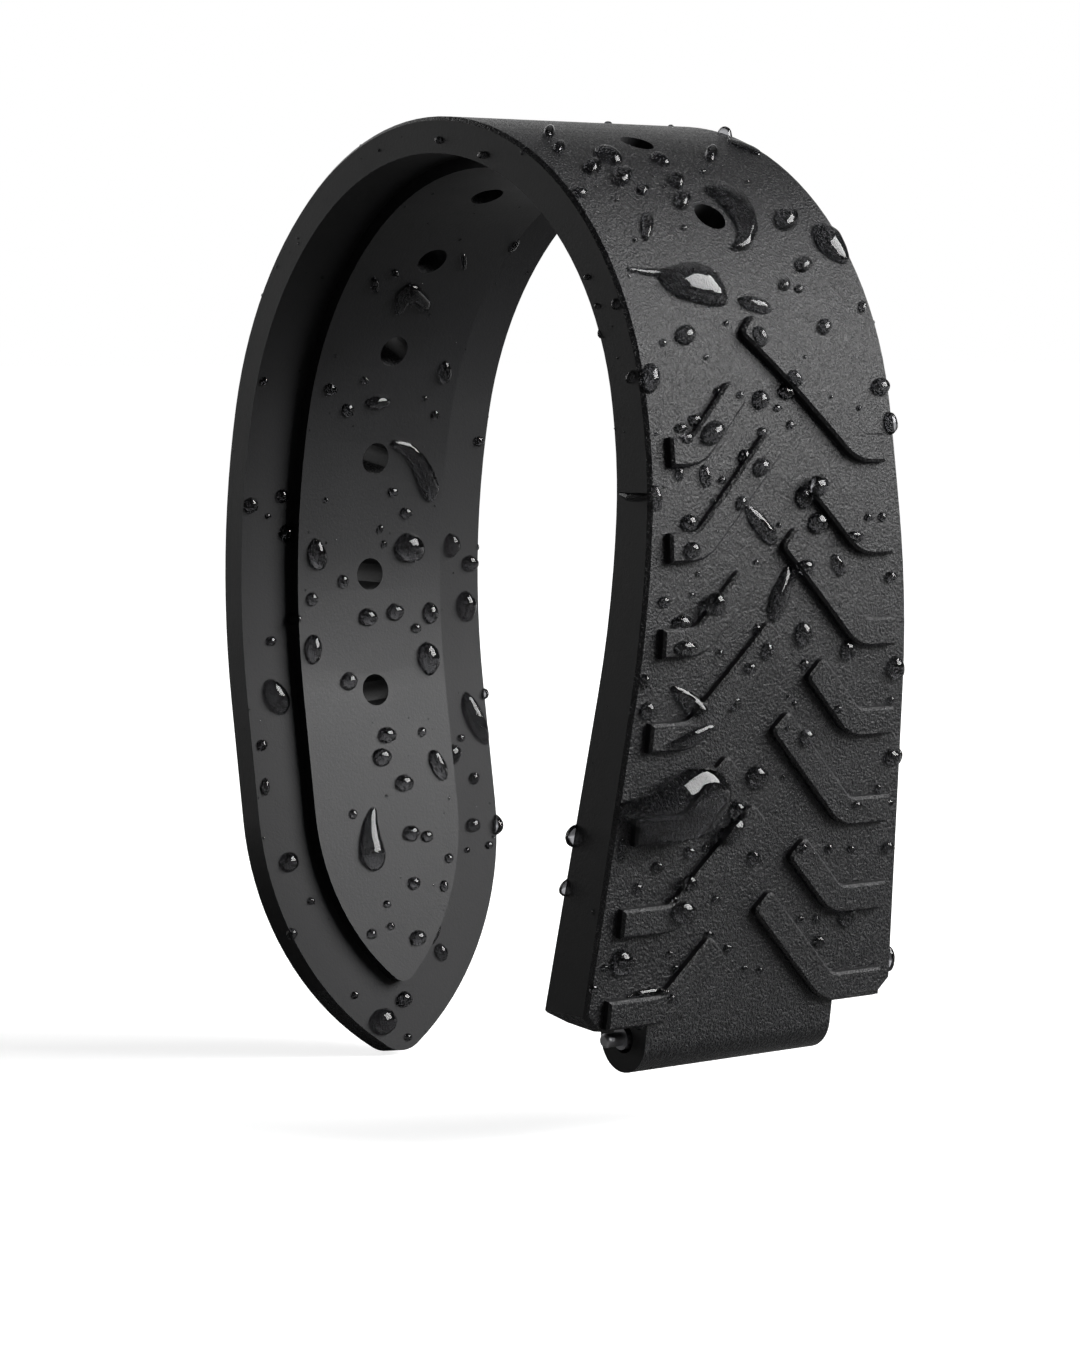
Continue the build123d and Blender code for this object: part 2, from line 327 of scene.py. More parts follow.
def buildWater(settings):
    material, tree, shader = newMaterial("waterDrops")
    link = tree.links.new
    place = addNode(tree, "ShaderNodeTexCoord", (-900, 0))
    film = addNode(tree, "ShaderNodeTexNoise", (-600, 0))
    film.inputs["Scale"].default_value = settings["filmScale"]
    film.inputs["Detail"].default_value = settings["filmDetail"]
    link(place.outputs["Object"], film.inputs["Vector"])
    rough = addNode(tree, "ShaderNodeMath", (-300, 0), operation="MULTIPLY")
    rough.inputs[1].default_value = settings["filmRoughness"]
    link(film.outputs["Fac"], rough.inputs[0])
    link(rough.outputs["Value"], shader.inputs["Roughness"])
    ripple = addNode(tree, "ShaderNodeBump", (0, -250))
    ripple.inputs["Distance"].default_value = settings["rippleDepth"]
    ripple.inputs["Strength"].default_value = settings["rippleStrength"]
    link(film.outputs["Fac"], ripple.inputs["Height"])
    link(ripple.outputs["Normal"], shader.inputs["Normal"])
    # the grey tint is painted shade on the drops
    shader.inputs["Base Color"].default_value = settings["paintedShadeTint"]
    shader.inputs["IOR"].default_value = settings["refraction"]
    shader.inputs["Transmission Weight"].default_value = 1.0
    return material


rubber = buildRubber(rubberSettings)
tipSteel = buildSteel("turnedSteel", steelSettings, steelSettings["tipDullness"])
tubeSteel = buildSteel("drawnSteel", steelSettings, steelSettings["tubeDullness"])
wireSteel = buildSteel("springWire", steelSettings, steelSettings["wireDullness"])
water = buildWater(waterSettings)
print("materials built")


surfaceSettings = {
    "mergeDistance": 0.002,     # millimetres
    "sharpAngle": 35.0,         # degrees; bends stay soft, chamfers and walls stay crisp
    "hoopCentre": (0.0, 30.0),  # x and z inside the hoop, millimetres
    "sideLimit": 0.80,          # a normal nearer to the width's direction than this is a side's
    "rayStart": 0.01,           # millimetres off the face that a ray leaves
    "wallFacing": 0.35,         # a face that looks neither in nor out is the wall of a hole
    "boreReach": 2.4,           # millimetres across an adjustment hole, and a little more
    "boreHalf": 1.3,
    "innerFacing": -0.5,
    "rimDepth": 2.3,            # millimetres; the thin rim round the raised panel is duller
    "rimDullness": 0.4,
}


def meshTree(mesh):
    return BVHTree.FromPolygons([vertex.co.copy() for vertex in mesh.vertices],
                                [tuple(face.vertices) for face in mesh.polygons])


def buildStrapSurface(node, settings):
    # a merged copy of the solid's skin, shaded softly over its chamfers
    mesh = bpy.data.meshes.new("strapSurface")
    skin = bmesh.new()
    skin.from_mesh(node.data)
    bmesh.ops.remove_doubles(skin, verts=skin.verts, dist=settings["mergeDistance"] * mm)
    skin.to_mesh(mesh)
    skin.free()
    if "custom_normal" in mesh.attributes:
        mesh.attributes.remove(mesh.attributes["custom_normal"])
    mesh.set_sharp_from_angle(angle=math.radians(settings["sharpAngle"]))
    centreX, centreZ = settings["hoopCentre"]
    outside = mesh.attributes.new("outside", "FLOAT", "FACE")
    dull = mesh.attributes.new("dull", "FLOAT", "FACE")
    tree = meshTree(mesh)
    for face in mesh.polygons:
        away = Vector((face.center.x - centreX * mm, 0.0, face.center.z - centreZ * mm)).normalized()
        facing = face.normal.dot(away)
        if abs(face.normal.y) > settings["sideLimit"]:
            facing = -1.0
        outside.data[face.index].value = 1.0 if facing > 0.0 else 0.0
        if abs(facing) < settings["wallFacing"] and abs(face.center.y) < settings["boreHalf"] * mm:
            start = face.center + face.normal * settings["rayStart"] * mm
            across = tree.ray_cast(start, face.normal, settings["boreReach"] * mm)
            dull.data[face.index].value = 0.0 if across[0] is None else 1.0
        elif facing < settings["innerFacing"] and abs(face.normal.y) < settings["sideLimit"]:
            start = face.center - face.normal * settings["rayStart"] * mm
            through = tree.ray_cast(start, -face.normal, settings["rimDepth"] * mm)
            dull.data[face.index].value = 0.0 if through[0] is None else settings["rimDullness"]
    piece = bpy.data.objects.new("strapSurface", mesh)
    scene.collection.objects.link(piece)
    even = piece.modifiers.new("even shading", "WEIGHTED_NORMAL")
    even.mode = "FACE_AREA_WITH_ANGLE"
    even.keep_sharp = True
    mesh.materials.clear()
    mesh.materials.append(rubber)
    return piece


strapSurface = buildStrapSurface(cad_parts["strap_body"], surfaceSettings)
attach(strapSurface, "strap")
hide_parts("strap_body")
print("strap surface:", len(strapSurface.data.polygons), "faces")


def dressNode(name, material):
    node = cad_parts[name]
    for slot in node.material_slots:
        slot.material = material
    return node


dressNode("spring_bar_tube", tubeSteel)
dressNode("spring_bar_tip_near", tipSteel)
dressNode("spring_bar_tip_far", tipSteel)
print("spring bar dressed")


springSettings = {
    "mergeDistance": 0.002,  # millimetres
    "pressedShare": 0.69,    # what is left of a half's length when its tip is pressed right in
}


def buildSpringHalf(name, side, settings):
    # the coil from its middle to one end, because each tip presses its own half
    coil = bmesh.new()
    coil.from_mesh(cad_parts["spring_bar_spring"].data)
    bmesh.ops.remove_doubles(coil, verts=coil.verts, dist=settings["mergeDistance"] * mm)
    everything = coil.verts[:] + coil.edges[:] + coil.faces[:]
    made = bmesh.ops.bisect_plane(coil, geom=everything, plane_co=(0, 0, 0),
                                  plane_no=(0, -side, 0), clear_outer=True)
    rim = [item for item in made["geom_cut"] if isinstance(item, bmesh.types.BMEdge)]
    bmesh.ops.contextual_create(coil, geom=rim)
    mesh = bpy.data.meshes.new(name)
    coil.to_mesh(mesh)
    coil.free()
    mesh.materials.clear()
    mesh.materials.append(wireSteel)
    half = bpy.data.objects.new(name, mesh)
    scene.collection.objects.link(half)
    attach(half, "spring_bar")
    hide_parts("spring_bar_spring")
    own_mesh(half)
    return half


buildSpringHalf("springHalfNear", -1, springSettings)
buildSpringHalf("springHalfFar", 1, springSettings)
print("coil spring halved")


dropSettings = {
    "roundness": 0.72,       # height of a drop over the mean of its half widths
    "flatFrom": 14.0,        # pixels; wider drops lie flatter
    "tallest": 1.3,          # height of a long drop over its shorter half width, before roundness
    "cut": -0.30,            # how far a drop's skin goes on under the rubber
    "wholeCut": -0.98,       # a lifted round is nearly a whole ball
    "tiniest": 5.0,          # pixels; below this the coarse shape serves
    "lookRound": 18.0,       # pixels
    "lookFar": 3.0,          # millimetres; skin further off is another part of the strap
    "lookSide": 0.5,
    "sameWay": 0.9,          # a normal that agrees this well with the skin round about is kept
    "runVoxel": 0.06,        # millimetres
    "poolVoxel": 0.11,
    "runStep": 2.0,          # pixels from one round of a run to the next
    "runGrowth": 1.10,       # the softening takes a little back
    "tension": 0.5,
    "tensionRounds": 70,
    "unevenness": 0.13,
    "bulgeScale": 1.3,
    "drift": 50.0,
}

# centre x and y, half width and half height in pixels, and turn in degrees, on the photograph
outerDrops = [
    (608, 157, 15, 5, 25), (592, 168, 9, 7, 0), (622, 178, 10, 9, 0), (643, 190, 6, 6, 0),
    (660, 161, 11, 4, 30), (676, 181, 10, 6, 55), (682, 201, 8, 9, 0), (711, 155, 7, 7, 0),
    (647, 226, 6, 15, 0), (580, 193, 8, 5, 10), (617, 200, 3, 2, 0), (664, 187, 3, 2, 0),
    (684, 228, 4, 3, 0), (748, 182, 4, 2, 0), (703, 172, 4, 2, 0), (635, 240, 3, 3, 0),
    (549, 133, 6, 4, 0), (559, 148, 6, 5, 0), (786, 220, 12, 11, 20), (803, 265, 8, 8, 0),
    (784, 285, 6, 6, 0), (799, 289, 5, 4, 0), (755, 305, 18, 7, 20), (685, 335, 10, 10, 0),
    (663, 343, 4, 4, 0), (726, 323, 3, 3, 0), (706, 357, 3, 3, 0), (650, 378, 9, 15, 0),
    (760, 336, 11, 6, 65), (824, 327, 7, 8, 0), (862, 307, 4, 6, 0), (880, 387, 9, 9, 20),
    (890, 423, 6, 12, -10), (805, 357, 2, 2, 0), (831, 397, 2, 2, 0), (859, 408, 3, 3, 0),
    (795, 378, 9, 6, 60), (786, 392, 9, 7, 20), (760, 400, 8, 10, 0), (777, 408, 4, 4, 0),
    (790, 425, 4, 5, 0), (695, 420, 7, 6, 0), (681, 428, 7, 5, 0), (687, 438, 6, 6, 0),
    (712, 433, 14, 10, -55), (717, 391, 4, 4, 0), (740, 395, 4, 4, 0), (762, 432, 5, 5, 0),
    (656, 434, 2, 2, 0), (679, 473, 4, 8, 0), (705, 476, 5, 12, -10), (744, 457, 6, 8, 0),
    (761, 467, 8, 10, 20), (722, 480, 4, 4, 0), (714, 502, 3, 3, 0), (656, 498, 5, 13, -10),
    (741, 503, 5, 8, 15), (689, 523, 9, 9, 0), (692, 550, 8, 9, 0), (779, 525, 3, 3, 0),
    (818, 486, 9, 11, 0), (804, 497, 9, 12, 0), (818, 523, 10, 11, 0), (856, 536, 8, 5, 20),
    (838, 565, 12, 5, 70), (806, 567, 8, 8, 0), (756, 562, 3, 3, 0), (868, 517, 4, 4, 0),
    (882, 517, 4, 5, 0), (891, 577, 6, 6, 0), (716, 604, 9, 12, 10), (664, 602, 6, 6, 0),
    (682, 623, 10, 8, 0), (686, 648, 12, 8, 0), (698, 574, 3, 3, 0), (692, 595, 3, 3, 0),
    (757, 629, 4, 5, 0), (767, 651, 6, 9, 10), (720, 653, 4, 4, 0), (803, 634, 8, 13, 0),
    (847, 650, 7, 10, 0), (805, 664, 5, 5, 0), (750, 668, 6, 6, 0), (895, 668, 8, 12, 0),
    (838, 709, 4, 4, 0), (734, 703, 6, 9, 12), (795, 703, 3, 3, 0), (788, 697, 2, 2, 0),
    (788, 728, 3, 3, 0), (891, 700, 4, 4, 0), (645, 682, 5, 8, 0), (648, 711, 8, 9, 0),
    (807, 738, 8, 9, 0), (757, 777, 10, 12, 0), (738, 812, 9, 12, -20), (658, 867, 6, 6, 0),
    (638, 888, 5, 5, 0), (690, 852, 6, 6, 0), (706, 848, 4, 4, 0), (622, 850, 4, 13, 0),
    (684, 912, 12, 12, 0), (690, 883, 8, 8, 0), (674, 900, 4, 4, 0), (622, 963, 11, 13, 0),
    (670, 954, 4, 4, 0), (676, 968, 4, 4, 0), (605, 968, 4, 4, 0), (672, 998, 4, 4, 0),
    (594, 990, 4, 5, 0), (709, 936, 5, 6, 0), (728, 948, 5, 4, 0), (716, 899, 4, 4, 0),
    (754, 858, 6, 8, -20), (803, 848, 5, 5, 0), (829, 849, 4, 5, 0), (851, 849, 4, 4, 0),
    (888, 847, 6, 6, 0), (846, 914, 8, 13, 10), (800, 919, 4, 4, 0), (816, 919, 4, 4, 0),
    (819, 941, 6, 6, 0), (857, 805, 5, 4, 0), (889, 803, 5, 4, 0), (878, 789, 3, 5, 0),
    (892, 757, 8, 8, 0), (783, 777, 3, 3, 0), (745, 968, 4, 3, 0), (760, 970, 4, 3, 0),
    (587, 277, 4, 3, 0), (597, 306, 3, 3, 0), (616, 304, 4, 6, 0), (631, 377, 4, 7, 20),
]

innerDrops = [
    (439, 140, 4, 4, 0), (483, 155, 6, 4, 0), (375, 285, 4, 8, 0), (395, 273, 4, 4, 0),
    (464, 262, 3, 8, 0), (445, 372, 6, 11, 0), (331, 389, 6, 6, 0), (348, 410, 6, 7, 0),
    (378, 402, 12, 7, -5), (435, 415, 4, 5, 0), (425, 398, 3, 3, 0), (365, 380, 4, 4, 0),
    (264, 381, 4, 4, 0), (479, 441, 5, 5, 0), (282, 496, 6, 7, 0), (251, 505, 7, 8, 0),
    (268, 516, 3, 3, 0), (326, 500, 3, 3, 0), (287, 533, 8, 9, 0), (317, 554, 9, 16, -5),
    (393, 492, 5, 5, 0), (406, 513, 6, 6, 0), (409, 548, 14, 15, 0), (452, 545, 7, 12, 0),
    (470, 563, 8, 8, 0), (343, 581, 5, 7, 0), (312, 599, 6, 7, 0), (368, 617, 9, 9, 0),
    (395, 612, 8, 9, 0), (430, 613, 7, 11, 0), (466, 606, 9, 15, -5), (416, 628, 5, 5, 0),
    (271, 641, 5, 5, 0), (293, 619, 7, 7, 0), (313, 649, 8, 15, 0), (428, 658, 10, 17, -8),
    (482, 662, 8, 9, 0), (349, 681, 8, 9, 0), (276, 697, 19, 11, 62), (475, 718, 27, 9, 68),
    (387, 735, 9, 8, 0), (422, 732, 4, 5, 0), (380, 529, 3, 5, 20), (384, 544, 3, 4, 0),
    (382, 757, 9, 9, 0), (438, 765, 16, 7, 68), (404, 783, 9, 9, 0), (262, 745, 5, 6, 0),
    (265, 787, 4, 9, 0), (474, 778, 5, 6, 0), (353, 814, 4, 5, 0), (411, 833, 8, 8, 0),
    (427, 836, 6, 6, 0), (473, 825, 7, 7, 0), (489, 845, 4, 4, 0), (449, 858, 4, 5, 0),
    (467, 850, 3, 3, 0), (289, 862, 9, 10, 0), (311, 901, 4, 4, 0), (414, 883, 6, 7, 0),
    (444, 886, 4, 6, 0), (387, 904, 4, 4, 0), (391, 926, 4, 4, 0), (372, 934, 5, 5, 0),
    (418, 938, 8, 8, 0), (441, 952, 6, 9, -20), (355, 995, 4, 4, 0), (404, 999, 8, 8, 0),
    (383, 1021, 13, 13, 0), (408, 1037, 4, 4, 0), (292, 934, 5, 6, 0), (461, 738, 4, 4, 0),
]

# puddles and runs: x, y and half width in pixels along the middle of each, and for the large one
# the millimetres that it is lifted where it bridges the step of a lug
runningWater = {
    "run_by_top_hole": [(708, 190, 4), (722, 194, 8), (735, 204, 10), (744, 218, 10), (748, 232, 9),
                        (744, 243, 8), (734, 248, 4)],
    "run_over_top": [(628, 269, 3), (645, 272, 4), (662, 273, 5), (672, 279, 11), (686, 281, 17),
                     (700, 285, 17), (712, 294, 12), (722, 301, 6)],
    "pool_far_edge": [(820, 232, 8), (828, 242, 11), (836, 252, 9), (844, 260, 5)],
    "streak_far_top": [(728, 141, 2), (740, 146, 3), (752, 151, 3), (760, 154, 2)],
    "run_long_arm": [(748, 508, 4), (757, 520, 8), (768, 534, 8), (772, 541, 5)],
    "run_between_arms": [(788, 568, 4), (784, 582, 7), (779, 596, 9), (775, 610, 8), (774, 618, 5)],
    "run_lower_foot": [(674, 688, 4), (684, 696, 8), (696, 706, 9), (704, 713, 5)],
    "pool_large": [(624, 806, 6, 0.0), (640, 813, 17, 0.40), (660, 814, 26, 0.75),
                   (680, 804, 30, 0.80), (694, 792, 27, 0.60), (702, 782, 19, 0.35),
                   (711, 773, 8, 0.05)],
    "run_lug_strip": [(668, 746, 3), (682, 742, 6), (696, 735, 7), (706, 730, 6), (714, 726, 3)],
    "run_near_side": [(621, 494, 3), (630, 497, 5), (640, 497, 5), (646, 495, 3)],
    "run_below_pool": [(740, 823, 5), (736, 830, 8), (727, 836, 9), (720, 836, 5)],
    "pool_bottom": [(628, 998, 3), (640, 995, 6), (654, 993, 7), (668, 992, 3)],
    "run_inner_upper": [(398, 312, 4), (403, 298, 7), (412, 292, 9), (422, 301, 8), (426, 309, 4)],
    "run_inner_hole": [(395, 444, 5), (407, 448, 7), (417, 459, 8), (424, 473, 9), (429, 487, 9),
                       (430, 496, 6)],
    "run_inner_tongue": [(373, 810, 4), (370, 824, 7), (370, 840, 10), (372, 854, 12), (374, 862, 9)],
}


def buildDropShape(name, subdivisions, cut):
    # a round cap whose open foot goes on a little below the rubber and is closed
    shape = bpy.data.meshes.new(name)
    ball = bmesh.new()
    bmesh.ops.create_icosphere(ball, subdivisions=subdivisions, radius=1.0)
    everything = ball.verts[:] + ball.edges[:] + ball.faces[:]
    made = bmesh.ops.bisect_plane(ball, geom=everything, plane_co=(0, 0, cut),
                                  plane_no=(0, 0, -1), clear_outer=True)
    rim = [item for item in made["geom_cut"] if isinstance(item, bmesh.types.BMEdge)]
    bmesh.ops.contextual_create(ball, geom=rim)
    ball.to_mesh(shape)
    ball.free()
    return shape


coarseDrop = buildDropShape("coarseDrop", 2, dropSettings["cut"])
fineDrop = buildDropShape("fineDrop", 3, dropSettings["cut"])
wholeDrop = buildDropShape("wholeDrop", 3, dropSettings["wholeCut"])

surfaceTree = meshTree(strapSurface.data)
slant = 0.7
roundAbout = ((1, 0), (-1, 0), (0, 1), (0, -1),
              (slant, slant), (-slant, slant), (slant, -slant), (-slant, -slant))


def surfaceAt(x, y):
    # place and normal; over a wall or a chamfer the normal is that of the skin round about
    eye = camera.location
    place, normal = surfaceTree.ray_cast(eye, pixelRay(camera, cameraSettings, x, y))[:2]
    if place is None or abs(normal.y) > surfaceSettings["sideLimit"]:
        return place, normal
    reach = dropSettings["lookRound"]
    broad = Vector()
    for stepX, stepY in roundAbout:
        ray = pixelRay(camera, cameraSettings, x + stepX * reach, y + stepY * reach)
        near, facing = surfaceTree.ray_cast(eye, ray)[:2]
        if near is None or (near - place).length >= dropSettings["lookFar"] * mm:
            continue
        if abs(facing.y) < dropSettings["lookSide"]:
            broad += facing
    if broad.length == 0.0 or normal.dot(broad.normalized()) > dropSettings["sameWay"]:
        return place, normal
    return place, broad.normalized()


def planeOffset(place, normal, x, y):
    # where the ray of a pixel meets the plane that touches the rubber at place
    eye = camera.location
    ray = pixelRay(camera, cameraSettings, x, y)
    reach = (place - eye).dot(normal) / ray.dot(normal)
    return eye + ray * reach - place


def dropMatrix(x, y, halfWidth, halfHeight, turn):
    place, normal = surfaceAt(x, y)
    if place is None:
        return None
    turn = math.radians(turn)
    alongX, alongY = math.cos(turn) * halfWidth, math.sin(turn) * halfWidth
    acrossX, acrossY = -math.sin(turn) * halfHeight, math.cos(turn) * halfHeight
    first = planeOffset(place, normal, x + alongX, y + alongY)
    second = planeOffset(place, normal, x + acrossX, y + acrossY)
    mean = math.sqrt(first.length * second.length)
    small = min(first.length, second.length)
    flat = min(1.0, dropSettings["flatFrom"] / max(halfWidth, halfHeight))
    height = min(mean, small * dropSettings["tallest"]) * dropSettings["roundness"] * (1 + flat) / 2
    if first.cross(second).dot(normal) < 0:
        second = -second
    columns = Matrix((first, second, normal * height)).transposed()
    return Matrix.Translation(place) @ columns.to_4x4()


def addDrop(group, shape, matrix, unevenness=dropSettings["unevenness"]):
    start = len(group.verts)
    group.from_mesh(shape)
    group.verts.ensure_lookup_table()
    fresh = group.verts[start:]
    drift = Vector([random.uniform(-dropSettings["drift"], dropSettings["drift"]) for axis in range(3)])
    for vertex in fresh:
        bulge = noise.noise(vertex.co * dropSettings["bulgeScale"] + drift) * unevenness
        vertex.co.x *= 1.0 + bulge
        vertex.co.y *= 1.0 + bulge
    bmesh.ops.transform(group, matrix=matrix, verts=fresh)


def finishDrops(group, name):
    mesh = bpy.data.meshes.new(name)
    for face in group.faces:
        face.smooth = True
    bmesh.ops.recalc_face_normals(group, faces=group.faces)
    group.to_mesh(mesh)
    group.free()
    mesh.materials.append(water)
    piece = bpy.data.objects.new(name, mesh)
    scene.collection.objects.link(piece)
    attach(piece, "strap")
    return piece


def buildDrops(name, drops):
    group = bmesh.new()
    for x, y, halfWidth, halfHeight, turn in drops:
        matrix = dropMatrix(x, y, halfWidth, halfHeight, turn)
        if matrix is not None:
            shape = coarseDrop if max(halfWidth, halfHeight) < dropSettings["tiniest"] else fineDrop
            addDrop(group, shape, matrix)
    return finishDrops(group, name)


def buildRun(name, points, voxel):
    # rounds set close together along the path, then drawn into one skin
    group = bmesh.new()
    for before, after in zip(points, points[1:]):
        steps = math.ceil(math.dist(before[:2], after[:2]) / dropSettings["runStep"])
        for step in range(steps + 1):
            x, y, half, *lift = [a + (b - a) * step / steps for a, b in zip(before, after)]
            half *= dropSettings["runGrowth"]
            matrix = dropMatrix(x, y, half, half, 0)
            if matrix is not None:
                rise = matrix.col[2].normalized() * sum(lift) * mm
                shape = wholeDrop if lift else fineDrop
                addDrop(group, shape, Matrix.Translation(rise[:3]) @ matrix, 0.0)
    piece = finishDrops(group, "water_" + name)
    blend = piece.modifiers.new("one skin", "REMESH")
    blend.mode = "VOXEL"
    blend.voxel_size = voxel * mm
    blend.use_smooth_shade = True
    soften = piece.modifiers.new("tension", "SMOOTH")
    soften.factor = dropSettings["tension"]
    soften.iterations = dropSettings["tensionRounds"]
    return piece


# loose drops: fine spray where the photograph looks, and beads of all sizes round the back
scatterSettings = {
    "seed": 11,
    "spray": {"count": 420, "smallest": 0.04, "largest": 0.11, "inView": True},
    "behind": {"count": 520, "smallest": 0.07, "largest": 0.75, "inView": False},
    "smallBias": 3,          # the higher, the more of the drops are small
    "rayStart": 0.02,        # millimetres
    "clearance": 2.5,        # millimetres of free space over a drop
    "sightMargin": 0.1,      # millimetres
    "fineFrom": 0.3,         # millimetres; smaller drops have the coarse shape
    "stretch": 1.6,
    "edgeOn": 0.35,          # drops on the outline of the view are kept small
    "edgeShrink": 0.5,
    "boreRadius": 0.85,      # millimetres; no drop reaches into the bore, where the tips move
}

tubeLow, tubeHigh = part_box("spring_bar_tube")
barAxis = (Vector(tubeLow) + Vector(tubeHigh)) / 2


def scatterDrops(name, settings, kind):
    choice = settings[kind]
    faces = strapSurface.data.polygons
    corners = strapSurface.data.vertices
    group = bmesh.new()
    for face in random.choices(faces, weights=[face.area for face in faces], k=choice["count"]):
        cornerA, cornerB, cornerC = [corners[index].co for index in face.vertices]
        a, b = sorted((random.random(), random.random()))
        place = cornerA * a + cornerB * (b - a) + cornerC * (1.0 - b)
        share = random.random() ** settings["smallBias"]
        size = choice["smallest"] + (choice["largest"] - choice["smallest"]) * share
        turn = random.uniform(0.0, math.tau)
        longer = random.uniform(1.0, settings["stretch"])
        normal = face.normal
        start = place + normal * settings["rayStart"] * mm
        if surfaceTree.ray_cast(start, normal, settings["clearance"] * mm)[0] is not None:
            continue
        offAxis = math.hypot(place.x - barAxis.x, place.z - barAxis.z)
        if offAxis < (settings["boreRadius"] + size * longer) * mm:
            continue
        sight = (place - camera.location).normalized()
        seen = surfaceTree.ray_cast(camera.location, sight)[0]
        inView = seen is not None and (seen - place).length < settings["sightMargin"] * mm
        if inView != choice["inView"]:
            continue
        if abs(normal.dot(sight)) < settings["edgeOn"]:
            size *= settings["edgeShrink"]
        first = normal.orthogonal().normalized() * size * longer * mm
        first.rotate(Matrix.Rotation(turn, 3, normal))
        second = normal.cross(first).normalized() * size * mm
        height = normal * size * dropSettings["roundness"] * mm
        matrix = Matrix.Translation(place) @ Matrix((first, second, height)).transposed().to_4x4()
        addDrop(group, coarseDrop if size < settings["fineFrom"] else fineDrop, matrix)
    return finishDrops(group, name)


random.seed(scatterSettings["seed"])
buildDrops("water_beads_outer", outerDrops)
buildDrops("water_beads_inner", innerDrops)
for name, points in runningWater.items():
    buildRun(name, points, dropSettings["poolVoxel" if name == "pool_large" else "runVoxel"])
scatterDrops("water_spray", scatterSettings, "spray")
scatterDrops("water_beads_behind", scatterSettings, "behind")
print("water drops placed")


# metres and watts; a direction runs from the strap to its lamp
lightSettings = {
    "keyDirection": (0.62, 0.62, 0.48),
    "keyDistance": 0.42,
    "keySize": (0.30, 0.26),
    "keyPower": 3.9,
    "topDirection": (-0.35, 0.55, 0.75),
    "topDistance": 0.45,
    "topSize": (0.30, 0.30),
    "topPower": 0.06,
    "sideDirection": (-0.80, -0.60, 0.05),
    "sideDistance": 0.60,
    "sideSize": (0.60, 0.50),
    "sidePower": 0.18,
    "backDirection": (-0.97, -0.10, 0.20),
    "backDistance": 0.60,
    "backSize": (0.50, 0.50),
    "backPower": 1.0,
    "fillDirection": (0.35, -0.80, 0.30),
    "fillDistance": 0.60,
    "fillSize": (0.40, 0.40),
    "fillPower": 0.08,
    "roomLevel": 0.028,
    "backdropDirection": (-0.777, 0.623, -0.08),
    "backdropEdge": (0.82, 0.98),
    "backdropLevel": 0.80,
    "sweepStart": (0.04, 0.20),
    "floorHalf": 6.0,        # metres
    "floorColour": 0.62,
    "floorMottle": 0.02,
    "mottleScale": 40.0,
    "floorRoughness": 0.9,
    "floorBounce": 0.20,
    "floorLift": (0.80, 1.0),
    "liftReach": (0.06, 0.30),
}


def addSoftbox(name, settings, key):
    data = bpy.data.lights.new(name, "AREA")
    data.shape = "RECTANGLE"
    data.size, data.size_y = settings[key + "Size"]
    data.energy = settings[key + "Power"]
    lamp = bpy.data.objects.new(name, data)
    scene.collection.objects.link(lamp)
    direction = Vector(settings[key + "Direction"]).normalized()
    target = Vector(cameraSettings["target"]) * mm
    lamp.location = target + direction * settings[key + "Distance"]
    lamp.rotation_euler = direction.to_track_quat("Z", "Y").to_euler()
    return lamp


addSoftbox("keySoftbox", lightSettings, "key")
addSoftbox("topSoftbox", lightSettings, "top")
addSoftbox("sideSoftbox", lightSettings, "side")
addSoftbox("backSoftbox", lightSettings, "back")
addSoftbox("fillSoftbox", lightSettings, "fill")


def seenWhite(tree, behind, place):
    # 1 for camera rays, and the backdrop's level for glossy and transmission rays that run to it
    path = addNode(tree, "ShaderNodeLightPath", place)
    either = addNode(tree, "ShaderNodeMath", (place[0] + 200, place[1]), operation="MAXIMUM")
    masked = addNode(tree, "ShaderNodeMath", (place[0] + 400, place[1]), operation="MULTIPLY")
    dimmed = addNode(tree, "ShaderNodeMath", (place[0] + 500, place[1]), operation="MULTIPLY")
    dimmed.inputs[1].default_value = lightSettings["backdropLevel"]
    seen = addNode(tree, "ShaderNodeMath", (place[0] + 600, place[1]), operation="MAXIMUM")
    tree.links.new(path.outputs["Is Glossy Ray"], either.inputs[0])
    tree.links.new(path.outputs["Is Transmission Ray"], either.inputs[1])
    tree.links.new(either.outputs["Value"], masked.inputs[0])
    tree.links.new(behind, masked.inputs[1])
    tree.links.new(path.outputs["Is Camera Ray"], seen.inputs[0])
    tree.links.new(masked.outputs["Value"], dimmed.inputs[0])
    tree.links.new(dimmed.outputs["Value"], seen.inputs[1])
    return seen.outputs["Value"]


def behindMask(tree, vector, direction, limits, place):
    # 0 to 1 where the vector points past the object, away from the photograph's camera
    dot = addNode(tree, "ShaderNodeVectorMath", place, operation="DOT_PRODUCT")
    dot.inputs[1].default_value = direction
    ramp = addNode(tree, "ShaderNodeMapRange", (place[0] + 200, place[1]))
    ramp.interpolation_type = "SMOOTHSTEP"
    ramp.inputs["From Min"].default_value = limits[0]
    ramp.inputs["From Max"].default_value = limits[1]
    tree.links.new(vector, dot.inputs[0])
    tree.links.new(dot.outputs["Value"], ramp.inputs["Value"])
    return ramp.outputs["Result"]


